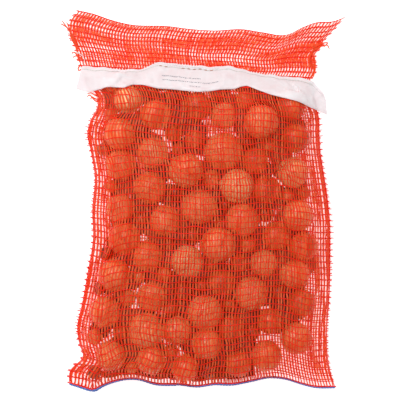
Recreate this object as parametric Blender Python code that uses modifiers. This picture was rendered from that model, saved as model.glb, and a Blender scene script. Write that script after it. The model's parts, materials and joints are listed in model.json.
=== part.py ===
# A knitted net produce sack, filled with small onions and sewn shut, lying on its back.
#
# +Z points out of the front of the sack, +Y towards its mouth and +X to its right. All sizes are metres.
# The origin is on the floor, under the middle of the sack.
#
# The sack is two plies of net joined by edge threads. The closing seam crosses it near the top. The open
# net beyond that seam, the header, folds up about the fold line, and the label sewn into the seam lifts
# about its stitches.

import bisect
import math

import bpy
import numpy as np
from mathutils import Vector
from mathutils.bvhtree import BVHTree

# Overall sizes
SACK_WIDTH = 0.300
SACK_LENGTH = 0.398  # from the bottom seam to the closing seam, along the middle
HEADER_HEIGHT = 0.066  # from the closing seam to the mouth, along the middle
SEAM_SLOPE = math.radians(-3.1)  # the closing seam falls a little towards the right

# Materials' thicknesses and the gaps between touching pieces
NET_THICKNESS = 0.0007
LABEL_THICKNESS = 0.0003
GAP = 0.0003
PLY_SPACING = 0.0013  # from the outside of the back ply to the inside of the front ply, at the edges

# Threads
EDGE_THREAD = 0.0012  # the two side seams
BOTTOM_THREAD = 0.0014
CLOSING_THREAD = 0.0009
TAIL_THREAD = 0.0008

# Label band, measured from the closing seam's stitches
HEM_ABOVE = 0.0050  # the strip of label above the stitches
HEM_BELOW = 0.0025
LABEL_HINGE = 0.0032  # the line that the free part of the label lifts about
LABEL_START = 0.0040
LABEL_DEPTH = 0.0300
LABEL_PAST_LEFT = 0.007  # how far the label's ends stand past the sides of the sack at the seam
LABEL_PAST_RIGHT = 0.020
LABEL_CLEARANCE = 0.0006

# How closely the onions may lie to the edges, and how the net leaves the edges
SIDE_CLEARANCE = 0.013
BOTTOM_CLEARANCE = 0.0045
SEAM_CLEARANCE = 0.013
EDGE_RAMP = 0.020  # the back ply comes down to the floor within this distance
EDGE_ANGLE = math.radians(66)  # the front ply climbs from its edges at this angle
DRAPE_ANGLE = math.radians(33)  # and leaves each onion at this one

# Mesh fineness
COLUMNS = 26
ROWS = 33
ONION_SIDES = 10
OUTLINE_STEPS = 26

# Outlines. Each pair is a place from 0 to 1 along an edge, and how far the edge stands out there.
LEFT_EDGE = [
    (0.00, 0.028), (0.04, 0.026), (0.08, 0.010), (0.12, 0.014), (0.17, 0.017), (0.25, 0.0105),
    (0.35, 0.003), (0.46, -0.004), (0.54, -0.003), (0.66, -0.006), (0.73, -0.001), (0.79, 0.0035),
    (0.83, -0.001), (0.87, -0.009), (0.905, -0.009), (0.94, 0.002), (1.00, 0.014),
]
RIGHT_EDGE = [
    (0.00, 0.0175), (0.04, 0.0125), (0.09, 0.0085), (0.16, 0.007), (0.30, 0.010), (0.42, 0.011),
    (0.55, 0.010), (0.62, 0.007), (0.70, 0.002), (0.77, -0.002), (0.82, -0.003), (0.88, -0.004),
    (0.92, -0.010), (1.00, -0.014),
]
BOTTOM_EDGE = [
    (0.00, 0.000), (0.05, 0.005), (0.085, 0.0085), (0.12, 0.002), (0.17, -0.0045), (0.24, -0.007),
    (0.31, -0.001), (0.40, 0.000), (0.46, 0.002), (0.53, -0.001), (0.60, -0.001), (0.67, -0.005),
    (0.74, -0.009), (0.80, -0.007), (0.86, -0.0005), (0.91, 0.004), (1.00, 0.005),
]
HEADER_LEFT = [(0.0, 0.014), (0.3, 0.020), (0.58, 0.028), (0.72, 0.028), (0.84, 0.0255), (1.0, 0.0165)]
HEADER_RIGHT = [
    (0.0, -0.013), (0.1, -0.008), (0.42, -0.007), (0.54, 0.001), (0.63, 0.003), (0.76, 0.0125),
    (0.87, 0.020), (1.0, 0.028),
]
HEADER_TOP = [
    (0.00, 0.019), (0.06, 0.015), (0.13, 0.0075), (0.21, 0.001), (0.37, -0.0015), (0.45, -0.005),
    (0.54, -0.007), (0.65, -0.0055), (0.72, -0.0095), (0.81, -0.012), (0.86, -0.003), (0.91, 0.0035),
    (0.97, 0.005), (1.00, 0.0095),
]

# How high each edge of the sack is carried off the floor by the onions beside it
LEFT_LIFT = [(0.0, 0.0), (0.08, 0.002), (0.2, 0.006), (0.85, 0.006), (0.93, 0.001), (1.0, 0.0)]
RIGHT_LIFT = [(0.0, 0.0), (0.08, 0.001), (0.2, 0.004), (0.8, 0.005), (0.92, 0.001), (1.0, 0.0)]
BOTTOM_LIFT = [
    (0.00, 0.000), (0.10, 0.001), (0.16, 0.012), (0.24, 0.015), (0.72, 0.015), (0.80, 0.012),
    (0.90, 0.001), (1.00, 0.000),
]

# Onions: place across (-1 left to 1 right), place along (0 bottom to 1 closing seam), diameter, how far
# above the floor it starts, heading of its neck and tilt of its neck from upright, both in degrees
ONIONS = [
    (-0.64, 0.920, 0.038, 0.010, 120, 80), (-0.40, 0.873, 0.042, 0.012, 250, 70),
    (-0.10, 0.900, 0.040, 0.000, 30, 85), (0.17, 0.873, 0.038, 0.010, 200, 75),
    (0.45, 0.845, 0.048, 0.008, 310, 65), (0.74, 0.890, 0.040, 0.000, 80, 90),
    (-0.72, 0.815, 0.043, 0.010, 170, 80), (0.14, 0.769, 0.052, 0.014, 60, 165),
    (0.75, 0.782, 0.040, 0.000, 20, 80), (-0.42, 0.755, 0.043, 0.000, 280, 70),
    (-0.77, 0.700, 0.043, 0.004, 100, 90), (-0.21, 0.693, 0.048, 0.014, 330, 75),
    (0.43, 0.716, 0.037, 0.000, 210, 80), (0.77, 0.680, 0.043, 0.012, 150, 60),
    (-0.53, 0.632, 0.045, 0.012, 45, 85), (0.26, 0.646, 0.047, 0.016, 350, 80),
    (0.54, 0.622, 0.041, 0.002, 90, 75), (-0.80, 0.580, 0.040, 0.006, 270, 90),
    (-0.03, 0.564, 0.049, 0.014, 110, 70), (0.80, 0.553, 0.043, 0.006, 190, 85),
    (0.38, 0.522, 0.046, 0.016, 230, 65), (-0.36, 0.517, 0.043, 0.010, 140, 80),
    (-0.78, 0.465, 0.045, 0.010, 320, 75), (0.58, 0.470, 0.040, 0.000, 10, 85),
    (0.10, 0.448, 0.049, 0.016, 75, 70), (0.81, 0.442, 0.040, 0.006, 260, 90),
    (-0.48, 0.412, 0.043, 0.006, 180, 85), (-0.21, 0.393, 0.045, 0.014, 25, 60),
    (-0.80, 0.344, 0.045, 0.010, 130, 80), (0.47, 0.380, 0.038, 0.010, 95, 90),
    (0.76, 0.352, 0.041, 0.012, 290, 70), (0.15, 0.334, 0.038, 0.000, 215, 80),
    (-0.48, 0.286, 0.041, 0.006, 340, 75), (0.38, 0.290, 0.047, 0.016, 160, 160),
    (0.78, 0.268, 0.039, 0.000, 50, 85), (-0.03, 0.244, 0.049, 0.016, 240, 70),
    (-0.82, 0.222, 0.043, 0.010, 85, 90), (0.22, 0.190, 0.038, 0.004, 300, 80),
    (-0.23, 0.176, 0.040, 0.006, 125, 75), (-0.54, 0.164, 0.050, 0.014, 15, 80),
    (0.80, 0.170, 0.044, 0.010, 220, 70), (0.02, 0.112, 0.044, 0.014, 65, 85),
    (0.50, 0.106, 0.043, 0.012, 345, 75), (-0.80, 0.100, 0.042, 0.008, 200, 90),
    (-0.49, 0.058, 0.040, 0.006, 105, 80), (-0.17, 0.052, 0.038, 0.004, 275, 85),
    (0.54, 0.210, 0.036, 0.000, 155, 80), (0.24, 0.070, 0.036, 0.000, 35, 90),
]
SETTLE_STEPS = 260
SETTLE_DROP = 0.0005  # how far an onion sinks in one step
SETTLE_PULL = 0.05  # share of the way back to its own place that it moves in one step

# Thread tails: points of each route past the end of the closing seam. The left one is measured from the
# seam's left end and lies on the header. The right one is measured from its right end: it starts on the
# label's hem and comes down to the floor, which its heights are measured from.
LEFT_TAIL = [
    (0.0050, 0.0062), (0.0062, 0.0095), (0.0058, 0.0135), (0.0030, 0.0178), (-0.0015, 0.0208),
    (-0.0070, 0.0224), (-0.0112, 0.0212), (-0.0118, 0.0180), (-0.0085, 0.0165), (-0.0045, 0.0180),
    (-0.0020, 0.0225),
]
RIGHT_TAIL = [
    (0.0010, 0.0000, 0.0029), (0.0070, 0.0006, 0.0029), (0.0130, 0.0009, 0.0029),
    (0.0185, 0.0006, 0.0030), (0.0225, -0.0004, 0.0027), (0.0258, -0.0022, 0.0010),
    (0.0295, -0.0040, 0.0), (0.0340, -0.0044, 0.0), (0.0378, -0.0020, 0.0), (0.0390, 0.0030, 0.0),
    (0.0368, 0.0075, 0.0), (0.0322, 0.0100, 0.0), (0.0280, 0.0130, 0.0),
]
TAIL_STEPS = 22

# Colour, roughness of each finish
FINISHES = {
    "red_net": ((0.90, 0.08, 0.03), 0.42),
    "brown_onion": ((0.66, 0.33, 0.12), 0.45),
    "white_nonwoven": ((0.92, 0.91, 0.92), 0.85),
    "white_thread": ((0.90, 0.88, 0.84), 0.80),
    "blue_thread": ((0.16, 0.20, 0.45), 0.75),
}

# Lines that follow from the sizes above
BOTTOM_DIP = max(out for place, out in BOTTOM_EDGE)
TOP_RISE = max(out for place, out in HEADER_TOP)
BOTTOM_Y = (BOTTOM_DIP - TOP_RISE - SACK_LENGTH - HEADER_HEIGHT) / 2
SEAM_Y = BOTTOM_Y + SACK_LENGTH
HALF_WIDTH = SACK_WIDTH / 2
ONION_FLOOR = NET_THICKNESS + 3 * GAP
HEM_Z = PLY_SPACING + NET_THICKNESS + GAP
HEADER_TOP_Z = 2 * NET_THICKNESS + GAP


def clear_scene():
    for thing in list(bpy.data.objects):
        bpy.data.objects.remove(thing, do_unlink=True)


def make_materials():
    materials = {}
    for name, (colour, roughness) in FINISHES.items():
        material = bpy.data.materials.new(name)
        material.use_nodes = True
        shader = material.node_tree.nodes["Principled BSDF"]
        shader.inputs["Base Color"].default_value = (*colour, 1.0)
        shader.inputs["Roughness"].default_value = roughness
        shader.inputs["Metallic"].default_value = 0.0
        materials[name] = material
    return materials


def add_object(name, data, material, collection, parent):
    """Links new data as an object that keeps its place when it is parented."""
    thing = bpy.data.objects.new(name, data)
    collection.objects.link(thing)
    data.materials.append(material)
    thing.parent = parent
    thing.matrix_parent_inverse = parent.matrix_world.inverted()
    return thing


def add_empty(name, place, turn, collection):
    empty = bpy.data.objects.new(name, None)
    empty.location = place
    empty.rotation_euler = (0.0, 0.0, turn)
    collection.objects.link(empty)
    bpy.context.view_layer.update()
    return empty


def smooth(points, place):
    """Value at a place of a smooth curve through (place, value) pairs."""
    places = [p[0] for p in points]
    values = [p[1] for p in points]
    slopes = np.gradient(values, places)
    i = min(max(bisect.bisect_right(places, place) - 1, 0), len(places) - 2)
    step = places[i + 1] - places[i]
    s = (place - places[i]) / step
    start = (1 + 2 * s) * (1 - s) ** 2 * values[i] + s * (1 - s) ** 2 * step * slopes[i]
    end = s * s * (3 - 2 * s) * values[i + 1] + s * s * (s - 1) * step * slopes[i + 1]
    return float(start + end)


def smooth_route(points, steps):
    """Evenly spaced points along a smooth curve through a route's own points."""
    places = list(np.linspace(0.0, 1.0, len(points)))
    axes = [list(zip(places, [p[axis] for p in points])) for axis in range(3)]
    return [Vector([smooth(axis, place) for axis in axes]) for place in np.linspace(0.0, 1.0, steps)]


def seam_y(x, above=0.0):
    """Height up the sack of the closing seam's stitches, or of a line above them, at x."""
    return SEAM_Y + math.tan(SEAM_SLOPE) * x + above / math.cos(SEAM_SLOPE)


def blend_edges(bottom, top, left, right, u, v):
    """Point of the surface patch stretched between four edges that meet at its corners."""
    across = bottom(u) * (1 - v) + top(u) * v
    along = left(v) * (1 - u) + right(v) * u
    corners = (bottom(0) * (1 - u) + bottom(1) * u) * (1 - v) + (top(0) * (1 - u) + top(1) * u) * v
    return across + along - corners


def sack_point(u, v):
    """Plan position in the sack, from its left (0) to right (1) edge and its bottom to its fold line."""
    x_left, x_right = -HALF_WIDTH - smooth(LEFT_EDGE, 0), HALF_WIDTH + smooth(RIGHT_EDGE, 0)
    top_left, top_right = -HALF_WIDTH - smooth(LEFT_EDGE, 1), HALF_WIDTH + smooth(RIGHT_EDGE, 1)

    def bottom(u):
        return Vector((x_left + (x_right - x_left) * u, BOTTOM_Y - smooth(BOTTOM_EDGE, u)))

    def top(u):
        x = top_left + (top_right - top_left) * u
        return Vector((x, seam_y(x, HEM_ABOVE)))

    def left(v):
        return Vector((-HALF_WIDTH - smooth(LEFT_EDGE, v), bottom(0).y + (top(0).y - bottom(0).y) * v))

    def right(v):
        return Vector((HALF_WIDTH + smooth(RIGHT_EDGE, v), bottom(1).y + (top(1).y - bottom(1).y) * v))

    return blend_edges(bottom, top, left, right, u, v)


def header_point(u, v):
    """Plan position in the header, from its left (0) to right (1) edge and its fold line to its mouth."""
    x_left, x_right = -HALF_WIDTH - smooth(HEADER_LEFT, 0), HALF_WIDTH + smooth(HEADER_RIGHT, 0)
    top_left, top_right = -HALF_WIDTH - smooth(HEADER_LEFT, 1), HALF_WIDTH + smooth(HEADER_RIGHT, 1)

    def bottom(u):
        x = x_left + (x_right - x_left) * u
        return Vector((x, seam_y(x, HEM_ABOVE + GAP)))

    def top(u):
        y = SEAM_Y + HEADER_HEIGHT + smooth(HEADER_TOP, u)
        return Vector((top_left + (top_right - top_left) * u, y))

    def left(v):
        return Vector((-HALF_WIDTH - smooth(HEADER_LEFT, v), bottom(0).y + (top(0).y - bottom(0).y) * v))

    def right(v):
        return Vector((HALF_WIDTH + smooth(HEADER_RIGHT, v), bottom(1).y + (top(1).y - bottom(1).y) * v))

    return blend_edges(bottom, top, left, right, u, v)


def settle_onions():
    """Centres of the onions once they have sunk onto the back ply and pushed each other apart."""
    radii = [row[2] / 2 for row in ONIONS]
    homes = [(row[0] * HALF_WIDTH, BOTTOM_Y + row[1] * SACK_LENGTH) for row in ONIONS]
    centres = [
        Vector((home[0], home[1], ONION_FLOOR + radius + row[3]))
        for home, radius, row in zip(homes, radii, ONIONS)
    ]
    count = len(centres)
    for step in range(SETTLE_STEPS):
        settled = step > SETTLE_STEPS * 0.8
        for i, centre in enumerate(centres):
            if not settled:
                centre.z -= SETTLE_DROP
                centre.x += (homes[i][0] - centre.x) * SETTLE_PULL
                centre.y += (homes[i][1] - centre.y) * SETTLE_PULL
        for sweep in range(4):
            for i in range(count):
                for j in range(i + 1, count):
                    between = centres[j] - centres[i]
                    short = radii[i] + radii[j] + GAP * 1.5 - between.length
                    if short > 0:
                        push = between.normalized() * (short / 2)
                        centres[i] -= push
                        centres[j] += push
            for i, centre in enumerate(centres):
                keep_inside(centre, radii[i])
    return centres, radii


def keep_inside(centre, radius):
    """Moves an onion off the floor and away from the edges of the sack."""
    along = min(max((centre.y - BOTTOM_Y) / SACK_LENGTH, 0.0), 1.0)
    across = min(max(centre.x / SACK_WIDTH + 0.5, 0.0), 1.0)
    left = -HALF_WIDTH - smooth(LEFT_EDGE, along) + SIDE_CLEARANCE + radius
    right = HALF_WIDTH + smooth(RIGHT_EDGE, along) - SIDE_CLEARANCE - radius
    bottom = BOTTOM_Y - smooth(BOTTOM_EDGE, across) + BOTTOM_CLEARANCE + radius
    top = seam_y(centre.x, -SEAM_CLEARANCE) - radius
    centre.x = min(max(centre.x, left), right)
    centre.y = min(max(centre.y, bottom), top)
    centre.z = max(centre.z, ONION_FLOOR + radius)


def onion_mesh(name, radius):
    """Half profile of an onion inside its own sphere: neck on top, widest below it, root plate beneath."""
    profile = [
        (0.00, 0.99), (0.13, 0.93), (0.55, 0.74), (0.95, 0.22), (0.90, -0.38), (0.45, -0.84), (0.00, -0.90),
    ]
    mesh = bpy.data.meshes.new(name)
    points = [(r * radius, 0.0, h * radius) for r, h in profile]
    mesh.from_pydata(points, [(i, i + 1) for i in range(len(points) - 1)], [])
    return mesh


def build_onions(materials, collection, parent, centres, radii):
    for number, (centre, radius, row) in enumerate(zip(centres, radii, ONIONS), start=1):
        heading, tilt = math.radians(row[4]), math.radians(row[5])
        name = f"onion_{number:02d}"
        onion = add_object(name, onion_mesh(name, radius), materials["brown_onion"], collection, parent)
        turned = onion.modifiers.new("turned", "SCREW")
        turned.steps = ONION_SIDES
        turned.render_steps = ONION_SIDES
        turned.use_merge_vertices = True
        turned.merge_threshold = 0.00001
        onion.location = centre
        onion.rotation_euler = (0.0, tilt, heading)


def sack_grid():
    """Columns and rows shared by both plies: closer near the edges, with a flat band at the fold line."""
    columns = [s - 0.055 * math.sin(2 * math.pi * s) for s in np.linspace(0.0, 1.0, COLUMNS + 1)]
    band = 1 - (HEM_ABOVE + LABEL_START) / SACK_LENGTH
    rows = [band * (s - 0.055 * math.sin(2 * math.pi * s)) for s in np.linspace(0.0, 1.0, ROWS)]
    return columns, rows + [1.0]


def grid_faces(width, height):
    """Triangles of a grid of points listed row by row."""
    faces = []
    for j in range(height - 1):
        for i in range(width - 1):
            corner = j * width + i
            faces.append((corner, corner + 1, corner + width + 1))
            faces.append((corner, corner + width + 1, corner + width))
    return faces


def edge_height(u, v):
    """Height of the sack's edge seen from a place inside it, faded out over the edge ramp."""
    sides = [
        (v * SACK_LENGTH, smooth(BOTTOM_LIFT, u)),
        (u * SACK_WIDTH, smooth(LEFT_LIFT, v)),
        ((1 - u) * SACK_WIDTH, smooth(RIGHT_LIFT, v)),
    ]
    return max(max(lift, 0.0) * max(0.0, 1 - away / EDGE_RAMP) for away, lift in sides)


def drape_height(point, centres, radii):
    """Height of a net that leaves each onion's top along a cone of the drape angle."""
    highest = 0.0
    for centre, radius in zip(centres, radii):
        away = math.hypot(point.x - centre.x, point.y - centre.y)
        rim = radius * math.sin(DRAPE_ANGLE)
        if away < rim:
            height = centre.z + math.sqrt(radius ** 2 - away ** 2)
        else:
            height = centre.z + radius * math.cos(DRAPE_ANGLE) - (away - rim) * math.tan(DRAPE_ANGLE)
        highest = max(highest, height + 2 * GAP)
    return highest


def push_clear(points, faces, pinned, centres, radii, clearance, way):
    """Raises (way 1) or lowers (way -1) a ply's points until every onion is clear of it."""
    for _ in range(400):
        tree = BVHTree.FromPolygons(points, faces)
        touching = 0
        for centre, radius in zip(centres, radii):
            _, _, face, away = tree.find_nearest(centre)
            short = radius + clearance - away
            if short > 0:
                touching += 1
                for corner in faces[face]:
                    if corner not in pinned:
                        points[corner].z += way * (short + 0.0001)
                        points[corner].z = max(points[corner].z, 0.0)
        if not touching:
            return


def ply_points(columns, rows, centres, radii):
    """Grid points of the back ply's outside and the front ply's inside."""
    width = len(columns)
    faces = grid_faces(width, len(rows))
    back, front, pinned = [], [], set()
    for j, v in enumerate(rows):
        for i, u in enumerate(columns):
            plan = sack_point(u, v)
            base = edge_height(u, v)
            inside = min(u * SACK_WIDTH, (1 - u) * SACK_WIDTH, v * SACK_LENGTH, (rows[-2] - v) * SACK_LENGTH)
            climb = base + PLY_SPACING + max(inside, 0.0) * math.tan(EDGE_ANGLE)
            top = max(base + PLY_SPACING, min(drape_height(plan, centres, radii), climb))
            if i in (0, width - 1) or j in (0, len(rows) - 2, len(rows) - 1):
                pinned.add(j * width + i)
            back.append(Vector((plan.x, plan.y, base)))
            front.append(Vector((plan.x, plan.y, top)))
    push_clear(front, faces, pinned, centres, radii, GAP * 1.5, 1)
    push_clear(back, faces, pinned, centres, radii, NET_THICKNESS + GAP * 1.5, -1)
    return back, front, faces


def build_ply(name, points, faces, thickness, material, collection, parent):
    """A sheet with its thickness laid on its upper side."""
    mesh = bpy.data.meshes.new(name)
    mesh.from_pydata(points, [], faces)
    sheet = add_object(name, mesh, material, collection, parent)
    wall = sheet.modifiers.new("thickness", "SOLIDIFY")
    wall.thickness = thickness
    wall.offset = 1.0
    return sheet


def build_slab(name, outline, bottom, thickness, material, collection, parent):
    """A flat closed outline with an even thickness."""
    curve = bpy.data.curves.new(name, "CURVE")
    curve.dimensions = "2D"
    curve.fill_mode = "BOTH"
    curve.extrude = thickness / 2
    spline = curve.splines.new("POLY")
    spline.points.add(len(outline) - 1)
    for point, plan in zip(spline.points, outline):
        point.co = (plan[0], plan[1], 0.0, 1.0)
    spline.use_cyclic_u = True
    slab = add_object(name, curve, material, collection, parent)
    slab.location.z = bottom + thickness / 2
    return slab


def build_thread(name, route, diameter, material, collection, parent):
    curve = bpy.data.curves.new(name, "CURVE")
    curve.dimensions = "3D"
    curve.bevel_depth = diameter / 2
    curve.bevel_resolution = 2
    curve.use_fill_caps = True
    spline = curve.splines.new("POLY")
    spline.points.add(len(route) - 1)
    for point, place in zip(spline.points, route):
        point.co = (*place, 1.0)
    return add_object(name, curve, material, collection, parent)


def edge_route(edge, diameter):
    """Route of a thread just outside an edge of the plies, at their mid height."""
    out = NET_THICKNESS + GAP + diameter / 2
    middle = (PLY_SPACING + NET_THICKNESS) / 2
    route = []
    for k, point in enumerate(edge):
        along = edge[min(k + 1, len(edge) - 1)] - edge[max(k - 1, 0)]
        side = Vector((along.y, -along.x, 0.0)).normalized()
        route.append(point + side * out + Vector((0.0, 0.0, middle)))
    return route


def build_sack(materials, collection, parent, centres, radii):
    columns, rows = sack_grid()
    back, front, faces = ply_points(columns, rows, centres, radii)
    red = materials["red_net"]
    build_ply("back_net", back, faces, NET_THICKNESS, red, collection, parent)
    build_ply("front_net", front, faces, NET_THICKNESS, red, collection, parent)
    width = len(columns)
    bottom = back[:width]
    left = [back[j * width] for j in range(len(rows))]
    right = [back[j * width + width - 1] for j in range(len(rows))]
    build_thread("bottom_seam_thread", edge_route(bottom, BOTTOM_THREAD), BOTTOM_THREAD,
                 materials["blue_thread"], collection, parent)
    build_thread("left_side_seam", edge_route(left[:0:-1], EDGE_THREAD)[::-1], EDGE_THREAD, red, collection,
                 parent)
    build_thread("right_side_seam", edge_route(right[1:], EDGE_THREAD), EDGE_THREAD, red, collection, parent)
    return width, rows, front, faces


def steepest(points, faces):
    """Steepest slope of the faces around each point."""
    slopes = [0.0] * len(points)
    for face in faces:
        a, b, c = [points[corner] for corner in face]
        slope = (b - a).cross(c - a).angle((0, 0, 1))
        for corner in face:
            slopes[corner] = max(slopes[corner], slope)
    return slopes


def build_label(materials, collection, parent, hinge, width, rows, front, faces):
    """The hem under the stitches, and the free part that drapes over the front ply."""
    white = materials["white_nonwoven"]
    ends = (sack_point(0, 1).x - LABEL_PAST_LEFT, sack_point(1, 1).x + LABEL_PAST_RIGHT)
    outline = [(x, seam_y(x, -HEM_BELOW)) for x in ends]
    outline += [(x, seam_y(x, HEM_ABOVE - GAP)) for x in reversed(ends)]
    build_slab("label_hem", outline, HEM_Z, LABEL_THICKNESS, white, collection, parent)

    first = len(rows) - 2
    count = 1 + sum(1 for v in rows[:first] if (rows[first] - v) * SACK_LENGTH < LABEL_DEPTH)
    rise = steepest(front, faces)
    lines = []
    for j in range(first, first - count, -1):
        line = []
        for k in range(j * width, (j + 1) * width):
            off = (NET_THICKNESS + LABEL_CLEARANCE) / math.cos(rise[k])
            line.append(front[k] + Vector((0.0, 0.0, off)))
        line.insert(0, Vector((ends[0], line[0].y + 0.001, line[0].z)))
        kept = 1 - (first - j) / count
        for share in (0.5, 1.0):
            x = line[width].x + (ends[1] - sack_point(1, 1).x) * share
            z = line[width].z * (1 - share) + (GAP + (HEM_Z - GAP) * kept) * share
            line.append(Vector((x, line[width].y - 0.002 * share, z)))
        lines.append(line)
    lines.reverse()
    points = [point for line in lines for point in line]
    flap = grid_faces(width + 3, count)
    build_ply("label_flap", points, flap, LABEL_THICKNESS, white, collection, hinge)


def build_closing_thread(materials, collection, parent, header):
    white = materials["white_thread"]
    left = Vector((sack_point(0, 1).x, 0.0, HEM_Z + LABEL_THICKNESS + GAP + CLOSING_THREAD / 2))
    right = Vector((sack_point(1, 1).x, 0.0, left.z))
    left.y, right.y = seam_y(left.x), seam_y(right.x)
    build_thread("closing_thread", [left, left.lerp(right, 0.5), right], CLOSING_THREAD, white, collection,
                 parent)
    on_header = HEADER_TOP_Z + GAP + TAIL_THREAD / 2
    route = [(left.x + x, left.y + y, on_header) for x, y in LEFT_TAIL]
    build_thread("thread_tail_left", smooth_route(route, TAIL_STEPS), TAIL_THREAD, white, collection, header)
    on_floor = TAIL_THREAD / 2 + 0.00005
    route = [(right.x + x, right.y + y, on_floor + z) for x, y, z in RIGHT_TAIL]
    route = smooth_route(route, TAIL_STEPS)
    for place in route:
        place.z = max(place.z, on_floor)
    build_thread("thread_tail_right", route, TAIL_THREAD, white, collection, parent)


def build_header(materials, collection, hinge):
    """The two plies of open net above the fold line."""
    places = np.linspace(0.0, 1.0, OUTLINE_STEPS + 1)
    short = np.linspace(0.0, 1.0, 9)
    outline = [header_point(u, 0) for u in (0.0, 1.0)]
    outline += [header_point(1, v) for v in short[1:]]
    outline += [header_point(u, 1) for u in reversed(places[:-1])]
    outline += [header_point(0, v) for v in reversed(short[1:-1])]
    red = materials["red_net"]
    build_slab("header_back_net", outline, 0.0, NET_THICKNESS, red, collection, hinge)
    build_slab("header_front_net", outline, NET_THICKNESS + GAP, NET_THICKNESS, red, collection, hinge)


def main():
    clear_scene()
    collection = bpy.data.collections.new("mesh_produce_bag")
    bpy.context.scene.collection.children.link(collection)
    materials = make_materials()
    sack = add_empty("sack", (0.0, 0.0, 0.0), 0.0, collection)
    fold_place = (0.0, seam_y(0.0, HEM_ABOVE), HEADER_TOP_Z + GAP)
    fold = add_empty("header_hinge", fold_place, SEAM_SLOPE, collection)
    lift = add_empty("label_hinge", (0.0, seam_y(0.0, -LABEL_HINGE), HEM_Z), SEAM_SLOPE, collection)
    centres, radii = settle_onions()
    build_onions(materials, collection, sack, centres, radii)
    width, rows, front, faces = build_sack(materials, collection, sack, centres, radii)
    build_label(materials, collection, sack, lift, width, rows, front, faces)
    build_closing_thread(materials, collection, sack, fold)
    build_header(materials, collection, fold)


main()
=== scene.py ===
import json
import math

import bpy
import numpy as np
from mathutils import Matrix, Vector
from mathutils.bvhtree import BVHTree


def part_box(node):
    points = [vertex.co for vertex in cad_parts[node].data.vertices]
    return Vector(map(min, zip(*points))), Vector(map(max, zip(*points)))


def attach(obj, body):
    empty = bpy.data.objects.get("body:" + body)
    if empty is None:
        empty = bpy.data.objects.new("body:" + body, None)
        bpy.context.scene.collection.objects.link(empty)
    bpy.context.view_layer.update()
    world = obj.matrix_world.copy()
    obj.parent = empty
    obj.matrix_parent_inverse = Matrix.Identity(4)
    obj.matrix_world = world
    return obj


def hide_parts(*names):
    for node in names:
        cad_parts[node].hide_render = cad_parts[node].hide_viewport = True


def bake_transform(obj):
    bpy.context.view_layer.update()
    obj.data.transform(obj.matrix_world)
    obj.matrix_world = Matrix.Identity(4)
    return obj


# A knitted net sack of small onions, sewn shut and lying on its back.
# +X is to its right, +Y towards its mouth and +Z out of its front. Lengths are metres, or mm where
# multiplied by mm.

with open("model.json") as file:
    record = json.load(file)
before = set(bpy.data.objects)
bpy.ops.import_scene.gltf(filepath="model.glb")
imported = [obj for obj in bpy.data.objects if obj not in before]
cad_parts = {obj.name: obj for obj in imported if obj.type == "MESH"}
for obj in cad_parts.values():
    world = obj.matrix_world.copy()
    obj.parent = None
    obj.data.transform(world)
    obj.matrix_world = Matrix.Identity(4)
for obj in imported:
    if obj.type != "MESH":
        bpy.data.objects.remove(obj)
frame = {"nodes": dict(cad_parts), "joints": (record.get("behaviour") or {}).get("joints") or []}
cadNodes = frame["nodes"]
cadJoints = {joint["name"]: joint for joint in frame["joints"]}
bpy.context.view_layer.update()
mm = 0.001
rng = np.random.default_rng(7)
print("frame loaded:", len(cadNodes), "nodes")


# Small tools

def deselectAll():
    if bpy.context.object and bpy.context.object.mode != "OBJECT":
        bpy.ops.object.mode_set(mode="OBJECT")
    bpy.ops.object.select_all(action="DESELECT")


def makeActive(piece):
    deselectAll()
    piece.select_set(True)
    bpy.context.view_layer.objects.active = piece


def addModifier(piece, kind, **settings):
    # adds a modifier and applies it at once
    makeActive(piece)
    modifier = piece.modifiers.new(kind.lower(), kind)
    for name, value in settings.items():
        setattr(modifier, name, value)
    bpy.ops.object.modifier_apply(modifier=modifier.name)


def pointsOf(piece):
    places = np.empty(len(piece.data.vertices) * 3)
    piece.data.vertices.foreach_get("co", places)
    return places.reshape(-1, 3)


def setPoints(piece, places):
    piece.data.vertices.foreach_set("co", np.ascontiguousarray(places, np.float32).ravel())
    piece.data.update()


def setAttribute(piece, name, values, kind="FLOAT"):
    layer = piece.data.attributes.new(name, kind, "POINT")
    layer.data.foreach_set("value" if kind == "FLOAT" else "vector",
        np.ascontiguousarray(values, np.float32).ravel())


def copyOf(piece, name):
    twin = piece.copy()
    twin.data = piece.data.copy()
    twin.name = twin.data.name = name
    bpy.context.scene.collection.objects.link(twin)
    return twin


def joinAll(pieces, name):
    deselectAll()
    for piece in pieces:
        piece.select_set(True)
    bpy.context.view_layer.objects.active = pieces[0]
    bpy.ops.object.join()
    whole = bpy.context.object
    whole.name = whole.data.name = name
    return whole


def rayTree(piece):
    # finds where lines meet a piece, and the nearest place on it
    mesh = piece.data
    return BVHTree.FromPolygons([v.co for v in mesh.vertices], [p.vertices[:] for p in mesh.polygons])


def along(pairs, place):
    # a smooth curve through (place, value) pairs, for one place or many
    places, values = np.array(pairs, float).T
    slopes = np.gradient(values, places)
    place = np.clip(place, 0.0, 1.0)
    i = np.clip(np.searchsorted(places, place, side="right") - 1, 0, len(places) - 2)
    step = places[i + 1] - places[i]
    s = (place - places[i]) / step
    near = (1 + 2 * s) * (1 - s) ** 2 * values[i] + s * (1 - s) ** 2 * step * slopes[i]
    return near + s * s * (3 - 2 * s) * values[i + 1] + s * s * (s - 1) * step * slopes[i + 1]


def wander(u, v, size, seed, waves=9, finest=9.0):
    # a smooth, repeatable drift over a sheet, in a few random waves
    dice = np.random.default_rng(seed)
    drift = np.zeros(np.shape(u))
    for _ in range(waves):
        turn, start, pitch = dice.uniform(0, math.tau), dice.uniform(0, math.tau), dice.uniform(1.5, finest)
        drift = drift + np.sin(math.tau * pitch * (u * math.cos(turn) + v * math.sin(turn)) + start)
    return drift * size / math.sqrt(waves)


# Camera, floor and light

viewLook = {"height": 2.2, "across": 0.520, "middle": (-0.0078, 0.0), "sensor": 36.0}

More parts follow.
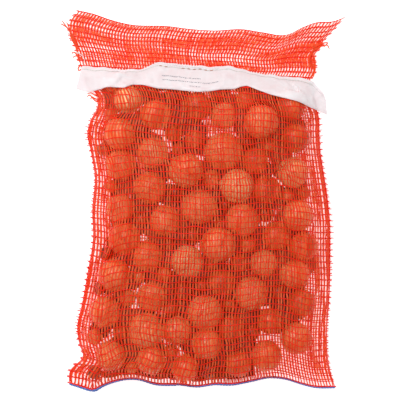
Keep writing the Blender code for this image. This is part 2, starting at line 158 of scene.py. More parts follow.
camera = bpy.data.cameras.new("camera")
camera.sensor_width = viewLook["sensor"]
camera.lens = viewLook["sensor"] * viewLook["height"] / viewLook["across"]
camera.clip_end = 30.0
cameraObject = bpy.data.objects.new("camera", camera)
cameraObject.location = (*viewLook["middle"], viewLook["height"])
bpy.context.scene.collection.objects.link(cameraObject)
bpy.context.scene.camera = cameraObject
bpy.context.scene.view_settings.view_transform = "Standard"

lightLook = {"sky": 0.65, "floorGlow": 0.58, "keyPower": 13.0, "keySize": 0.9,
    "keyPlace": (-0.55, 0.75, 1.35)}

world = bpy.data.worlds.new("studio")
world.use_nodes = True
world.node_tree.nodes["Background"].inputs["Color"].default_value = (1.0, 0.99, 0.985, 1.0)
world.node_tree.nodes["Background"].inputs["Strength"].default_value = lightLook["sky"]
bpy.context.scene.world = world

softbox = bpy.data.lights.new("softbox", "AREA")
softbox.size = lightLook["keySize"]
softbox.energy = lightLook["keyPower"]
softboxObject = bpy.data.objects.new("softbox", softbox)
softboxObject.location = lightLook["keyPlace"]
softboxObject.rotation_euler = (-Vector(lightLook["keyPlace"])).to_track_quat("-Z", "Y").to_euler()
bpy.context.scene.collection.objects.link(softboxObject)


# Materials

def linear(code):
    # sRGB hex to linear red, green, blue, alpha
    parts = [int(code[i:i + 2], 16) / 255 for i in (1, 3, 5)]
    return (*[c / 12.92 if c <= 0.04045 else ((c + 0.055) / 1.055) ** 2.4 for c in parts], 1.0)


def addNode(tree, kind, inputs=None, ramp=None, **settings):
    # adds a node; an input given a socket is linked, any other value is set on it
    node = tree.nodes.new("ShaderNode" + kind)
    for name, value in settings.items():
        setattr(node, name, value)
    for name, value in (inputs or {}).items():
        if isinstance(value, bpy.types.NodeSocket):
            tree.links.new(value, node.inputs[name])
        else:
            node.inputs[name].default_value = value
    for i, (place, colour) in enumerate(ramp or []):
        stops = node.color_ramp.elements
        stop = stops[i] if i < 2 else stops.new(place)
        stop.position, stop.color = place, colour
    return node


def startMaterial(name):
    material = bpy.data.materials.new(name)
    material.use_nodes = True
    return material, material.node_tree, material.node_tree.nodes["Principled BSDF"]


floorMaterial, tree, shader = startMaterial("paintedPaperSweep")  # matt white, lit a little from behind
shader.inputs["Base Color"].default_value = linear("#FFFFFF")
shader.inputs["Roughness"].default_value = 1.0
shader.inputs["Specular IOR Level"].default_value = 0.0
shader.inputs["Emission Color"].default_value = linear("#FFFFFF")
shader.inputs["Emission Strength"].default_value = lightLook["floorGlow"]

deselectAll()
bpy.ops.mesh.primitive_plane_add(size=8.0, location=(0, 0, -0.4 * mm))
floor = bpy.context.object
floor.name = "floor"
floor.data.materials.append(floorMaterial)

onionLook = {
    # the darkest skin colour is real dark skin on the onions and painted shade on the shed skins in the gaps
    "darkSkinAndGapShade": "#701C06", "skinMid": "#F88A42", "skinPale": "#FFF0AC", "vein": "#A83C18", "veinPitch": 2.6,
    # a unit of the grain is an onion's radius, in mm
    "patchPitch": 17.0, "dryRoot": "#C9A67A", "grainUnit": 22.0,
}

# Dry onion skin, cured: thin brown paper in layers, with veins from root to neck and a dull gloss.
skinMaterial, tree, shader = startMaterial("curedOnionSkin")
tone = addNode(tree, "Attribute", attribute_name="skinTone").outputs["Fac"]
grain = addNode(tree, "Attribute", attribute_name="skinGrain").outputs["Vector"]
veins = addNode(tree, "TexNoise", {"Vector": grain, "Scale": onionLook["grainUnit"] / onionLook["veinPitch"],
    "Detail": 3.0, "Roughness": 0.6})
patches = addNode(tree, "TexNoise", {"Vector": grain,
    "Scale": onionLook["grainUnit"] / onionLook["patchPitch"],
    "Detail": 2.0, "Distortion": 0.8})
shift = addNode(tree, "Math", {0: patches.outputs["Fac"], 1: 0.8, 2: -0.4}, operation="MULTIPLY_ADD")
toned = addNode(tree, "Math", {0: tone, 1: shift.outputs[0]}, operation="ADD", use_clamp=True)
base = addNode(tree, "ValToRGB", {"Fac": toned.outputs[0]}, ramp=[
    (0.0, linear(onionLook["darkSkinAndGapShade"])), (1.0, linear(onionLook["skinPale"])),
    (0.5, linear(onionLook["skinMid"]))])
lines = addNode(tree, "ValToRGB", {"Fac": veins.outputs["Fac"]},
    ramp=[(0.30, (0.75,) * 3 + (1,)), (0.52, (0, 0, 0, 1))])
skin = addNode(tree, "Mix", {"Factor": lines.outputs["Color"], "A": base.outputs["Color"],
    "B": linear(onionLook["vein"])}, data_type="RGBA")
tree.links.new(skin.outputs["Result"], shader.inputs["Base Color"])
bump = addNode(tree, "Bump", {"Height": veins.outputs["Fac"], "Strength": 0.35, "Distance": 0.4 * mm})
tree.links.new(bump.outputs["Normal"], shader.inputs["Normal"])
shader.inputs["Roughness"].default_value = 0.3
shader.inputs["Specular IOR Level"].default_value = 0.7

# Dried root hairs and the plate they grow from: pale, matt fibre.
rootMaterial, tree, shader = startMaterial("driedRootFibre")
place = addNode(tree, "TexCoord").outputs["Object"]
mottle = addNode(tree, "TexNoise", {"Vector": place, "Scale": 1 / (1.5 * mm), "Detail": 3.0})
base = addNode(tree, "ValToRGB", {"Fac": mottle.outputs["Fac"]},
    ramp=[(0.3, linear("#8A6238")), (0.7, linear(onionLook["dryRoot"]))])
tree.links.new(base.outputs["Color"], shader.inputs["Base Color"])
shader.inputs["Roughness"].default_value = 0.85


netLook = {
    "tapes": 86, "rows": 52, "overPile": 0.72, "headerRows": 11, "tapePitch": 3.75 * mm,
    "rowPitch": 8.0 * mm, "tapeWidth": 2.1 * mm, "gripped": 0.62,
    "tapeThickness": 0.12 * mm, "linkLength": 5.0 * mm, "linkWidth": 1.9 * mm, "linkYarn": 2.6 * mm,
    "linkHeight": 0.5 * mm, "chainLift": 0.42 * mm,
    "tape": "#FF7840", "tapeDeep": "#FA5020", "chain": "#FF260E", "chainDeep": "#E81808",
    "tapeClear": 0.80, "tapeGlow": 0.35,
}

# Slit polyethylene tape, stretched: a thin orange-red film with a soft gloss that lets light through.
tapeMaterial, tree, shader = startMaterial("slitPolyethyleneTape")
tone = addNode(tree, "Attribute", attribute_name="strandTone").outputs["Fac"]
place = addNode(tree, "TexCoord").outputs["Object"]
cloud = addNode(tree, "TexNoise", {"Vector": place, "Scale": 1 / (9 * mm), "Detail": 3.0})
mixed = addNode(tree, "Math", {0: tone, 1: cloud.outputs["Fac"]}, operation="MULTIPLY")
base = addNode(tree, "ValToRGB", {"Fac": mixed.outputs[0]},
    ramp=[(0.08, linear(netLook["tapeDeep"])), (0.42, linear(netLook["tape"]))])
tree.links.new(base.outputs["Color"], shader.inputs["Base Color"])
shader.inputs["Roughness"].default_value = 0.4
shader.inputs["Specular IOR Level"].default_value = 0.25
shader.inputs["Alpha"].default_value = netLook["tapeClear"]
thin = addNode(tree, "BsdfTranslucent", {"Color": base.outputs["Color"]})
both = addNode(tree, "MixShader", {0: netLook["tapeGlow"], 1: shader.outputs[0], 2: thin.outputs[0]})
tree.links.new(both.outputs[0], tree.nodes["Material Output"].inputs["Surface"])

# Knitted polyethylene yarn: a full red with a slight waxy shine.
chainMaterial, tree, shader = startMaterial("knittedPolyethyleneYarn")
tone = addNode(tree, "Attribute", attribute_name="strandTone").outputs["Fac"]
base = addNode(tree, "ValToRGB", {"Fac": tone},
    ramp=[(0.0, linear(netLook["chainDeep"])), (1.0, linear(netLook["chain"]))])
tree.links.new(base.outputs["Color"], shader.inputs["Base Color"])
shader.inputs["Roughness"].default_value = 0.5
shader.inputs["Specular IOR Level"].default_value = 0.15

labelLook = {
    "cloth": "#FFFCFE", "bondPitch": 1.4, "fibrePitch": 0.5, "print": "#9A98A0", "columns": 112, "rows": 14,
    "thickness": 0.25 * mm, "clearance": 1.45 * mm, "seamRow": 12, "slack": -0.025, "flat": (0.335, 0.036),
    "raggedness": 0.9 * mm, "startHeight": 0.6 * mm,
    # height, start and end, from 0 to 1
    "printRows": [(0.56, 0.33, 0.48), (0.40, 0.335, 0.55), (0.22, 0.445, 0.485)],
}

# Spunbonded polypropylene: a matt white sheet of fine fibres, pressed together at small dots, with a few
# grey printed rows.
labelMaterial, tree, shader = startMaterial("spunbondedNonwoven")
place = addNode(tree, "TexCoord").outputs["Object"]
onLabel = addNode(tree, "SeparateXYZ", {0: addNode(tree, "TexCoord").outputs["UV"]})
bonds = addNode(tree, "TexVoronoi", {"Vector": place, "Scale": 1 / (labelLook["bondPitch"] * mm),
    "Randomness": 0.25})
fibres = addNode(tree, "TexNoise", {"Vector": place, "Scale": 1 / (labelLook["fibrePitch"] * mm),
    "Detail": 4.0})
cloud = addNode(tree, "TexNoise", {"Vector": place, "Scale": 1 / (14 * mm), "Detail": 2.0})
cloth = addNode(tree, "ValToRGB", {"Fac": cloud.outputs["Fac"]},
    ramp=[(0.3, linear("#FBF1F3")), (0.7, linear(labelLook["cloth"]))])
marks = addNode(tree, "TexNoise", {"Vector": place, "Scale": 1 / (1.1 * mm), "Detail": 1.0})
ink = addNode(tree, "Math", {0: marks.outputs["Fac"], 1: 0.46}, operation="GREATER_THAN").outputs[0]
printed = None
for height, start, end in labelLook["printRows"]:
    inRow = addNode(tree, "Math", {0: onLabel.outputs["Y"], 1: height, 2: 0.016},
        operation="COMPARE").outputs[0]
    inSpan = addNode(tree, "Math", {0: onLabel.outputs["X"], 1: (start + end) / 2, 2: (end - start) / 2},
        operation="COMPARE").outputs[0]
    row = addNode(tree, "Math", {0: inRow, 1: inSpan}, operation="MULTIPLY").outputs[0]
    printed = row if printed is None else addNode(tree, "Math", {0: printed, 1: row},
        operation="MAXIMUM").outputs[0]
inked = addNode(tree, "Math", {0: printed, 1: ink}, operation="MULTIPLY")
base = addNode(tree, "Mix", {"Factor": inked.outputs[0], "A": cloth.outputs["Color"],
    "B": linear(labelLook["print"])}, data_type="RGBA")
tree.links.new(base.outputs["Result"], shader.inputs["Base Color"])
height = addNode(tree, "Math", {0: fibres.outputs["Fac"], 1: 0.5, 2: bonds.outputs["Distance"]},
    operation="MULTIPLY_ADD")
bump = addNode(tree, "Bump", {"Height": height.outputs[0], "Strength": 0.3, "Distance": 0.15 * mm})
tree.links.new(bump.outputs["Normal"], shader.inputs["Normal"])
shader.inputs["Roughness"].default_value = 0.8
shader.inputs["Specular IOR Level"].default_value = 0.25
thin = addNode(tree, "BsdfTranslucent", {"Color": base.outputs["Result"]})
both = addNode(tree, "MixShader", {0: 0.25, 1: shader.outputs[0], 2: thin.outputs[0]})
tree.links.new(both.outputs[0], tree.nodes["Material Output"].inputs["Surface"])


def threadMaterial(name, light, plyShade):
    # spun polyester sewing thread: two plies twisted together, so a fine slanting grain, drawn with a darker
    # copy of its colour as painted shade between the plies, and a faint sheen
    material, tree, shader = startMaterial(name)
    place = addNode(tree, "TexCoord").outputs["Object"]
    # painted shade: noise mixes the thread's colour with its darker copy, for the shade in the grooves
    # between the plies
    plyShadeNoise = addNode(tree, "TexNoise", {"Vector": place, "Scale": 1 / (0.8 * mm), "Detail": 2.0})
    base = addNode(tree, "ValToRGB", {"Fac": plyShadeNoise.outputs["Fac"]},
        ramp=[(0.35, linear(plyShade)), (0.65, linear(light))])
    tree.links.new(base.outputs["Color"], shader.inputs["Base Color"])
    shader.inputs["Roughness"].default_value = 0.7
    shader.inputs["Sheen Weight"].default_value = 0.2
    return material


# the second colour of each thread is a painted shade for the grooves between its plies
whiteThread = threadMaterial("spunPolyesterWhite", "#F3F0EC", "#CFC8C2")
blueThread = threadMaterial("spunPolyesterBlue", "#6A96E8", "#34508E")
rustThread = threadMaterial("spunPolyesterRust", "#C47A48", "#8A4522")
print("materials made")


# Thread tails: the two free cords, at the ends of the closing seam

hinge = cadJoints["header_fold"]
foldPoint, foldAxis = Vector(hinge["pos_m"]), Vector(hinge["axis"]).normalized()
slope = foldAxis.y / foldAxis.x
tailLook = {"diameter": 0.8 * mm, "samples": 22, "hemAbove": 5.0 * mm, "leftHeight": 2.4 * mm,
    "floorHeight": 0.45 * mm, "leftEnd": -0.164, "rightEnd": 0.136}
seamMiddle = foldPoint.y - tailLook["hemAbove"] * math.hypot(1, slope)
leftTail = [
    (0.0050, 0.0062), (0.0062, 0.0095), (0.0058, 0.0135), (0.0030, 0.0178), (-0.0015, 0.0208),
    (-0.0070, 0.0224), (-0.0112, 0.0212), (-0.0118, 0.0180), (-0.0085, 0.0165), (-0.0045, 0.0180),
    (-0.0020, 0.0225),
]
rightTail = [
    (0.0010, 0.0000, 0.0029), (0.0070, 0.0006, 0.0029), (0.0130, 0.0009, 0.0029), (0.0185, 0.0006, 0.0030),
    (0.0225, -0.0004, 0.0027), (0.0258, -0.0022, 0.0010), (0.0295, -0.0040, 0.0), (0.0340, -0.0044, 0.0),
    (0.0378, -0.0020, 0.0), (0.0390, 0.0030, 0.0), (0.0368, 0.0075, 0.0), (0.0322, 0.0100, 0.0),
    (0.0280, 0.0130, 0.0),
]


def seamHeight(x):
    return seamMiddle + slope * x


def layTail(name, node, start, route, body):
    # one free thread end on a smooth curve through its points
    places = np.linspace(0, 1, len(route))
    steps = np.linspace(0, 1, tailLook["samples"])
    points = np.stack([along(list(zip(places, [p[axis] for p in route])), steps) for axis in range(3)], 1)
    points = points + np.array([start[0], start[1], 0.0])
    points[:, 2] = np.maximum(points[:, 2], tailLook["floorHeight"])
    curve = bpy.data.curves.new(name, "CURVE")
    curve.dimensions = "3D"
    curve.bevel_depth = tailLook["diameter"] / 2
    curve.bevel_resolution = 2
    curve.use_fill_caps = True
    line = curve.splines.new("POLY")
    line.points.add(len(points) - 1)
    for spot, point in zip(line.points, points):
        spot.co = (*point, 1.0)
    curve.materials.append(whiteThread)
    thread = bpy.data.objects.new(name, curve)
    bpy.context.scene.collection.objects.link(thread)
    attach(thread, body)
    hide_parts(node)
    return thread


leftEnd, rightEnd = tailLook["leftEnd"], tailLook["rightEnd"]
layTail("threadTailLeft", "thread_tail_left", (leftEnd, seamHeight(leftEnd)),
        [(x, y, tailLook["leftHeight"]) for x, y in leftTail], "header")
layTail("threadTailRight", "thread_tail_right", (rightEnd, seamHeight(rightEnd)),
        [(x, y, z + (tailLook["floorHeight"] if z == 0 else 0)) for x, y, z in rightTail], "root")


# Onions

onionShape = {
    "segments": 28, "rings": 18,
    "neckRings": [
        (0.985, 0.62, 0.0), (0.940, 0.42, 0.0), (0.866, 0.60, -0.01), (0.766, 0.80, -0.01),
        (0.643, 0.89, 0.0), (0.500, 0.94, 0.0),
    ],
    "rootRings": [(-0.985, 0.80, 0.065), (-0.940, 0.92, 0.035), (-0.866, 0.97, 0.0)],
    "width": 0.97, "tip": 0.99, "foot": 0.90, "rootHairs": 15, "hairLength": 0.16, "hairWidth": 0.014,
    "lowest": 1.2 * mm,
}
# how pale each onion's skin is, from dark (0) to pale (1), in the order of their numbers
skinTones = [
    0.9, 0.6, 0.3, 0.6, 0.6, 0.3, 0.6, 0.6, 0.3, 0.7, 0.6, 0.7, 0.4, 0.8, 0.6, 1.0, 0.3, 0.6, 0.7, 0.6,
    0.7, 0.6, 0.5, 0.4, 0.7, 0.5, 0.6, 0.9, 0.6, 0.8, 0.6, 0.3, 0.6, 0.7, 0.3, 0.7, 0.6, 0.3, 0.6, 0.7,
    0.6, 0.6, 0.6, 0.6, 0.6, 0.5, 0.4, 0.3,
]


def editVertices(piece, test):
    # goes to edit mode with only the vertices that pass the test selected
    makeActive(piece)
    for polygon in piece.data.polygons:
        polygon.select = False
    for edge in piece.data.edges:
        edge.select = False
    for vertex in piece.data.vertices:
        vertex.select = bool(test(vertex.co))
    bpy.ops.object.mode_set(mode="EDIT")
    bpy.ops.mesh.select_mode(type="VERT")


def modelOnion(smooth):
    deselectAll()
    bpy.ops.mesh.primitive_uv_sphere_add(segments=onionShape["segments"], ring_count=onionShape["rings"],
        radius=1.0)
    onion = bpy.context.object
    for height, size, lift in onionShape["neckRings"] + onionShape["rootRings"]:
        editVertices(onion, lambda co: abs(co.z - height) < 0.012)
        bpy.ops.transform.resize(value=(size, size, 1.0), center_override=(0, 0, height))
        bpy.ops.transform.translate(value=(0, 0, lift))
        bpy.ops.object.mode_set(mode="OBJECT")
    editVertices(onion, lambda co: co.z < -0.97)  # the foot is drawn in
    bpy.ops.transform.translate(value=(0, 0, 1.0 - onionShape["foot"]))
    bpy.ops.object.mode_set(mode="OBJECT")
    editVertices(onion, lambda co: True)
    bpy.ops.transform.resize(value=(onionShape["width"], onionShape["width"], onionShape["tip"]),
        center_override=(0, 0, 0))
    bpy.ops.object.mode_set(mode="OBJECT")
    if smooth:
        addModifier(onion, "SUBSURF", levels=1, render_levels=1)
    onion.data.materials.append(skinMaterial)
    onion.data.materials.append(rootMaterial)
    hairs = []
    for i in range(onionShape["rootHairs"]):
        turn = math.tau * (i + 0.35 * math.sin(5.0 * i)) / onionShape["rootHairs"]
        reach = 0.05 + 0.05 * (i % 3)
        deselectAll()
        bpy.ops.mesh.primitive_cone_add(
            vertices=3, radius1=onionShape["hairWidth"], radius2=onionShape["hairWidth"] * 0.4,
            depth=onionShape["hairLength"],
            location=(reach * math.cos(turn), reach * math.sin(turn), -onionShape["foot"] - 0.02),
            rotation=(0, math.radians(118), turn))
        hair = bpy.context.object
        hair.data.materials.append(skinMaterial)
        hair.data.materials.append(rootMaterial)
        for polygon in hair.data.polygons:
            polygon.material_index = 1
        hairs.append(hair)
    whole = joinAll([onion] + hairs, "onion")
    bpy.ops.object.transform_apply(location=True, rotation=True, scale=True)
    bpy.ops.object.shade_smooth()
    return whole


def onionFacts(node):
    # centre, radius and neck direction of an onion in the frame
    places = pointsOf(node)
    middle = places.mean(0)
    tip = places[np.argmax(np.linalg.norm(places - middle, axis=1))]
    foot = places[np.argmax(np.linalg.norm(places - tip, axis=1))]
    radius = np.linalg.norm(tip - foot) / (onionShape["tip"] + onionShape["foot"])
    axis = (tip - foot) / np.linalg.norm(tip - foot)
    return foot + axis * onionShape["foot"] * radius, radius, axis


def shapedOnion(model, name, centre, radius, axis, skinTone, turnDice):
    # a copy of the model in its place, with its own lean, skin and tone
    onion = copyOf(model, name)
    places = pointsOf(model)
    angle = np.arctan2(places[:, 1], places[:, 0])
    squeeze = turnDice.uniform([0.97, 0.97, 1.0], 1.0)
    lean = np.minimum(1 + 0.02 * np.sin(3 * angle + turnDice.uniform(0, 6)), 1.0)
    upright = Vector((0, 0, 1)).rotation_difference(Vector(axis)).to_matrix()
    turn = upright @ Matrix.Rotation(turnDice.uniform(0, math.tau), 3, "Z")
    spread = centre + (places * squeeze * lean[:, None] * radius) @ np.array(turn).T
    spread[:, 2] = np.maximum(spread[:, 2], onionShape["lowest"])  # root hairs bend flat on the net
    setPoints(onion, spread)
    grain = np.stack([np.cos(angle), np.sin(angle), places[:, 2] * 0.14], 1)
    setAttribute(onion, "skinGrain", grain + turnDice.uniform(-40, 40, 3), "FLOAT_VECTOR")
    setAttribute(onion, "skinTone", np.full(len(places), skinTone))
    return onion


model = modelOnion(True)
onions, centres, radii = [], [], []
for number, name in enumerate(sorted(name for name in cadNodes if name.startswith("onion_"))):
    centre, radius, axis = onionFacts(cadNodes[name])
    bulb = name.replace("onion_", "onionBulb")
    onion = shapedOnion(model, bulb, centre, radius, axis, skinTones[number], rng)
    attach(onion, "root")
    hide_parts(name)
    onions.append(onion)
    centres.append(centre)
    radii.append(radius)
bpy.data.objects.remove(model)
print("onions made:", len(onions), "with", sum(len(o.data.polygons) for o in onions), "faces")


# The net's two plies, as plain sheets first

sackShape = {
    "halfWidth": 150 * mm, "bottom": -237.25 * mm, "headerHeight": 66 * mm, "columns": 76, "rows": 100,
    "left": [
        (0.00, 0.028), (0.04, 0.026), (0.08, 0.010), (0.12, 0.014), (0.17, 0.017), (0.25, 0.0105),
        (0.35, 0.003), (0.46, -0.004), (0.54, -0.003), (0.66, -0.006), (0.73, -0.001), (0.79, 0.0035),
        (0.83, -0.001), (0.87, -0.009), (0.905, -0.009), (0.94, 0.002), (1.00, 0.014),
    ],
    "right": [
        (0.00, 0.0175), (0.04, 0.0125), (0.09, 0.0085), (0.16, 0.007), (0.30, 0.010), (0.42, 0.011),
        (0.55, 0.010), (0.62, 0.007), (0.70, 0.002), (0.77, -0.002), (0.82, -0.003), (0.88, -0.004),
        (0.92, -0.010), (1.00, -0.014),
    ],
    "foot": [
        (0.00, 0.000), (0.05, 0.005), (0.085, 0.0085), (0.12, 0.002), (0.17, -0.0045), (0.24, -0.007),
        (0.31, -0.001), (0.40, 0.000), (0.46, 0.002), (0.53, -0.001), (0.60, -0.001), (0.67, -0.005),
        (0.74, -0.009), (0.80, -0.007), (0.86, -0.0005), (0.91, 0.004), (1.00, 0.005),
    ],
    "headerLeft": [(0.0, 0.014), (0.3, 0.020), (0.58, 0.028), (0.72, 0.028), (0.84, 0.0255), (1.0, 0.0165)],
    "headerRight": [
        (0.0, -0.013), (0.1, -0.008), (0.42, -0.007), (0.54, 0.001), (0.63, 0.003), (0.76, 0.0125),
        (0.87, 0.020), (1.0, 0.028),
    ],
    "mouth": [
        (0.00, 0.019), (0.06, 0.015), (0.13, 0.0075), (0.21, 0.001), (0.37, -0.0015), (0.45, -0.005),
        (0.54, -0.007), (0.65, -0.0055), (0.72, -0.0095), (0.81, -0.012), (0.86, -0.003), (0.91, 0.0035),
        (0.97, 0.005), (1.00, 0.0095),
    ],
}


def patchPlaces(u, v, left, right, bottom, top):
    # plan places between four edges: left and right give x for v, bottom and top give y for u
    x = left(0.5) * (1 - u) + right(0.5) * u
    # the sides' bows die out inwards
    x = x + (left(v) - left(0.5)) * (1 - u) ** 2 + (right(v) - right(0.5)) * u ** 2
    y = bottom(x, u) * (1 - v) + top(x, u) * v
    return x, y


def sackPlaces(u, v):
    half = sackShape["halfWidth"]
    return patchPlaces(
        u, v, lambda t: -half - along(sackShape["left"], t), lambda t: half + along(sackShape["right"], t),
        lambda x, t: sackShape["bottom"] - along(sackShape["foot"], t), lambda x, t: foldPoint.y + slope * x)


def headerPlaces(u, v):
    half = sackShape["halfWidth"]
    return patchPlaces(
        u, v, lambda t: -half - along(sackShape["headerLeft"], t),
        lambda t: half + along(sackShape["headerRight"], t),
        lambda x, t: foldPoint.y + slope * x,
        lambda x, t: seamMiddle + sackShape["headerHeight"] + along(sackShape["mouth"], t))


def surfaceHeights(node, x, y, fromAbove=True):
    # height of a CAD node's upper or lower side over each plan place, or the nearest height past its edge
    tree = rayTree(node)
    start, way = (1.0, -1.0) if fromAbove else (-1.0, 1.0)
    heights = np.empty(x.shape)
    for i in np.ndindex(x.shape):
        hit = tree.ray_cast(Vector((x[i], y[i], start)), Vector((0, 0, way)))[0]
        if hit is None:
            hit = tree.find_nearest(Vector((x[i], y[i], 0.01)))[0]
        heights[i] = hit.z
    return heights


def gridSheet(name, columns, rows, places):
    # a grid of cloth with its points set in rows from the foot up; returns it and the order of its points
    deselectAll()
    bpy.ops.mesh.primitive_grid_add(x_subdivisions=columns, y_subdivisions=rows, size=1.0)
    sheet = bpy.context.object
    sheet.name = name
    flat = pointsOf(sheet) + 0.5
    order = np.lexsort((np.rint(flat[:, 0] * columns), np.rint(flat[:, 1] * rows)))
    spread = np.empty((len(order), 3))
    spread[order] = places.reshape(-1, 3)
    setPoints(sheet, spread)
    return sheet, order


plyLook = {
    "within": (0.006, 0.994), "lowest": 0.6 * mm, "backRise": 0.45 * mm, "frontRise": 0.2 * mm,
    "apart": 1.0 * mm, "overOnions": 0.7 * mm, "beforeCloth": 0.8 * mm, "floor": 0.1 * mm,
}
u, v = np.meshgrid(np.linspace(0, 1, sackShape["columns"] + 1), np.linspace(0, 1, sackShape["rows"] + 1))
inU, inV = np.clip(u, *plyLook["within"]), np.clip(v, *plyLook["within"])
x, y = sackPlaces(u, v)
inX, inY = sackPlaces(inU, inV)
underside = np.maximum(surfaceHeights(cadNodes["back_net"], inX, inY, False), plyLook["lowest"])
backSheet = np.stack([x, y, underside + plyLook["backRise"]], -1)
frontSheet = np.stack([x, y, surfaceHeights(cadNodes["front_net"], inX, inY) + plyLook["frontRise"]], -1)

def closeEdges():
    # the front ply's foot and side edges come down onto the back ply's
    for edge in (np.s_[0, :], np.s_[:, 0], np.s_[:, -1]):
        frontSheet[edge + (2,)] = backSheet[edge + (2,)] + plyLook["apart"]


closeEdges()
print("plies laid out")


# Small onions of the layer below, in the hollows between the others

fillLook = {
    "step": 3 * mm, "levels": 10, "highest": 34 * mm, "smallest": 8.5 * mm, "largest": 21 * mm,
    "gap": 0.4 * mm, "underPly": 1 * mm, "most": 64, "perPiece": 16, "palest": 0.6, "floor": 1.3 * mm,
    "edge": 9 * mm, "footEdge": 5 * mm, "rightEdge": 22 * mm, "cornerTop": -180 * mm, "cornerSide": 100 * mm,
}


def findHollows():
    # the largest spheres that fit among the onions, over the back ply and under the front one, biggest first
    xs = np.arange(-sackShape["halfWidth"], sackShape["halfWidth"], fillLook["step"])
    ys = np.arange(sackShape["bottom"], seamMiddle, fillLook["step"])
    zs = np.linspace(fillLook["smallest"] + fillLook["floor"], fillLook["highest"], fillLook["levels"])
    spots = np.stack(np.meshgrid(xs, ys, zs, indexing="ij"), -1).reshape(-1, 3)
    up = (spots[:, 1] - sackShape["bottom"]) / (foldPoint.y - sackShape["bottom"])
    room = np.minimum(spots[:, 2] - fillLook["floor"], fillLook["largest"])
    fromLeft = spots[:, 0] + sackShape["halfWidth"] + along(sackShape["left"], up)
    fromRight = sackShape["halfWidth"] + along(sackShape["right"], up) - spots[:, 0]
    acrossSack = spots[:, 0] / (2 * sackShape["halfWidth"]) + 0.5
    fromFoot = spots[:, 1] - sackShape["bottom"] + along(sackShape["foot"], acrossSack)
    room = np.minimum(np.minimum(room, fromLeft - fillLook["edge"]), fromRight - fillLook["rightEdge"])
    emptyCorner = (spots[:, 1] < fillLook["cornerTop"]) & (spots[:, 0] > fillLook["cornerSide"])
    room[emptyCorner] = 0
    room = np.minimum(room, fromFoot - fillLook["footEdge"])
    for centre, radius in zip(centres, radii):
        room = np.minimum(room, np.linalg.norm(spots - centre, axis=1) - radius)
        under = (np.linalg.norm(spots[:, :2] - centre[:2], axis=1) < 0.5 * radius) & (spots[:, 2] < centre[2])
        room[under] = 0
    spots, room = spots[room > fillLook["smallest"]], room[room > fillLook["smallest"]]
    tree = rayTree(cadNodes["front_net"])
    for i, spot in enumerate(spots):
        covered = tree.ray_cast(Vector(spot), Vector((0, 0, 1)))[0]
        room[i] = min(room[i], tree.find_nearest(Vector(spot))[3] - fillLook["underPly"]) if covered else 0
    found = []
    while len(found) < fillLook["most"]:
        best = int(np.argmax(room))
        radius = room[best] - fillLook["gap"]
        if radius < fillLook["smallest"]:
            break
        found.append((spots[best].copy(), radius))
        room = np.minimum(room, np.linalg.norm(spots - spots[best], axis=1) - radius)
    return found


model = modelOnion(False)
fillDice = np.random.default_rng(19)
hollows, lower = findHollows(), []
for number, (centre, radius) in enumerate(hollows):
    axis = fillDice.normal(0, 1, 3) * (1, 1, 0.3)
    lower.append(shapedOnion(model, "small", centre, radius, axis / np.linalg.norm(axis),
        fillDice.uniform(0, fillLook["palest"]), fillDice))
    centres.append(centre)
    radii.append(radius)
bpy.data.objects.remove(model)
for start in range(0, len(lower), fillLook["perPiece"]):
    group = joinAll(lower[start:start + fillLook["perPiece"]],
        "smallOnions%d" % (start // fillLook["perPiece"] + 1))
    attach(group, "root")
    onions.append(group)
print("small onions made:", len(lower), "from", round(min(r for _, r in hollows) * 2000), "to",
    round(max(r for _, r in hollows) * 2000), "mm across")


# Shed skins lying on the back ply, under the onions, kept dark as painted shade in the gaps between them

skinLook = {
    "across": 11, "up": 14, "sides": 11, "radius": (14 * mm, 21 * mm), "thickness": 0.06 * mm,
    "rise": 0.75 * mm, "layer": 0.16 * mm, "layers": 4, "bareRadius": 9 * mm, "scatter": 0.008,
    # palest keeps the shed skins near the darkest skin tone, as painted shade in the gaps
    "palest": 0.25,
    "left": 0.10, "right": 0.88, "foot": 0.045, "head": 0.97, "spanAcross": (0.03, 0.965),
    "spanUp": (0.010, 0.985), "cornerTop": 0.12, "cornerLeft": 0.10, "cornerRight": 0.70,
}
# places across (0 to 1) and up (0 to 1) where nothing lies on the back ply
barePlaces = [
    (0.21, 0.69), (0.35, 0.76), (0.52, 0.82), (0.58, 0.85), (0.75, 0.68), (0.46, 0.41), (0.21, 0.29),
    (0.77, 0.30), (0.74, 0.53), (0.73, 0.25), (0.26, 0.55), (0.35, 0.11), (0.26, 0.83), (0.60, 0.40),
]


def modelFlake():
    # one shed scale of skin: a thin, uneven disc
    deselectAll()
    bpy.ops.mesh.primitive_circle_add(vertices=skinLook["sides"], radius=1.0, fill_type="NGON")
    flake = bpy.context.object
    for inset in (0.35, 0.3):
        bpy.ops.object.mode_set(mode="EDIT")
        bpy.ops.mesh.select_mode(type="FACE")
        bpy.ops.mesh.select_all(action="DESELECT")
        bpy.ops.object.mode_set(mode="OBJECT")
        inner = min(flake.data.polygons, key=lambda polygon: (polygon.center.length, -polygon.area))
        inner.select = True
        bpy.ops.object.mode_set(mode="EDIT")
        bpy.ops.mesh.inset(thickness=inset)
        bpy.ops.object.mode_set(mode="OBJECT")
    return flake


